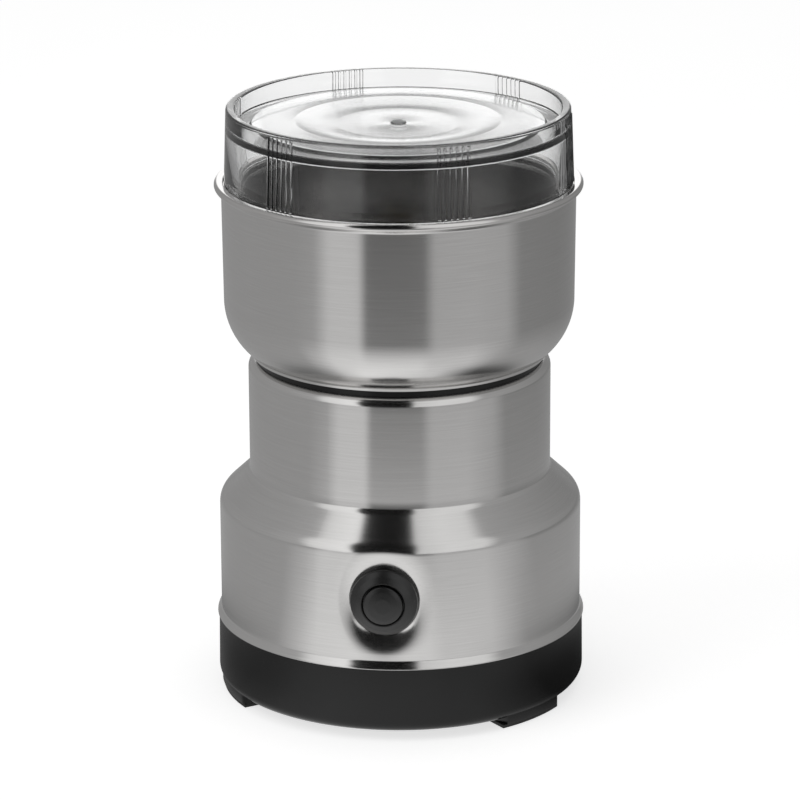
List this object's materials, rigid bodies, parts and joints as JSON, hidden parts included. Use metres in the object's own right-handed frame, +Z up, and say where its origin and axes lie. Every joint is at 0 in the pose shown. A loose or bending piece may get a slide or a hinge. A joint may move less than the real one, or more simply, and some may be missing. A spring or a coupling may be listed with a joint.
{
  "type": "electric spice grinder",
  "caption": "Electric spice grinder: clear lift-off lid, steel bowl with a two-armed blade, waisted steel housing with a front push button, black plastic base.",
  "frame": {"origin": "on the motor shaft's axis, at the underside of the rubber feet", "axes": "+Z up along the motor shaft, -Y out of the front through the push button, +X to the right seen from the front"},
  "size_m": [0.1052, 0.1081, 0.1693],
  "materials": {
    "brushed_steel": "stainless steel brushed round the body",
    "bowl_steel": "pressed stainless steel, satin inside and bright on the rim",
    "bright_steel": "bright ground stainless steel",
    "zinc_steel": "zinc-plated steel",
    "clear_plastic": "clear moulded plastic, glossy",
    "black_plastic": "black moulded plastic, satin",
    "switch_plastic": "black moulded plastic, satin",
    "rubber": "black rubber, matt",
    "copper": "varnished copper wire and bars",
    "brass": "sintered bronze and turned brass",
    "laminations": "stacked sheet iron, lightly varnished",
    "carbon": "pressed carbon"
  },
  "bodies": {
    "housing_body": {"grinding_bowl": "bowl_steel", "bowl_shell": "brushed_steel", "bowl_cushion": "rubber", "bowl_nut": "bright_steel", "shaft_seal": "rubber", "upper_bearing": "brass", "lower_bearing": "brass", "upper_bracket": "zinc_steel", "lower_bracket": "zinc_steel", "stator_core": "laminations", "field_coils": "copper", "motor_screws": "zinc_steel", "brush_holders": "black_plastic", "carbon_brushes": "carbon", "brush_springs": "zinc_steel", "motor_carrier": "black_plastic", "housing": "brushed_steel", "switch_bezel": "switch_plastic", "switch_spring": "zinc_steel", "switch_terminals": "brass", "switch_nut": "switch_plastic", "base": "black_plastic", "rubber_feet": "rubber", "base_screws": "zinc_steel", "cord_bushing": "rubber", "cord_clamp": "black_plastic", "clamp_screws": "zinc_steel"},
    "lid_body": {"lid": "clear_plastic"},
    "rotor": {"motor_shaft": "bright_steel", "armature_core": "laminations", "armature_winding": "copper", "commutator": "copper", "blade_hub": "brass", "blade": "bright_steel", "blade_nut": "bright_steel"},
    "button": {"switch_button": "switch_plastic", "switch_contact": "copper"}
  },
  "joints": [
    {"name": "lid_lift", "type": "slide", "parent": "housing_body", "child": "lid_body", "axis": [0, 0, 1], "range_m": [0, 0.06]},
    {"name": "blade_spin", "type": "hinge", "parent": "housing_body", "child": "rotor", "pos_m": [0, 0, 0], "axis": [0, 0, 1], "continuous": true},
    {"name": "button_press", "type": "slide", "parent": "housing_body", "child": "button", "axis": [0, 1, 0], "range_m": [0, 0.0025], "stiffness_N_per_m": 600, "springref_m": -0.003, "deforming": ["switch_spring"]}
  ]
}
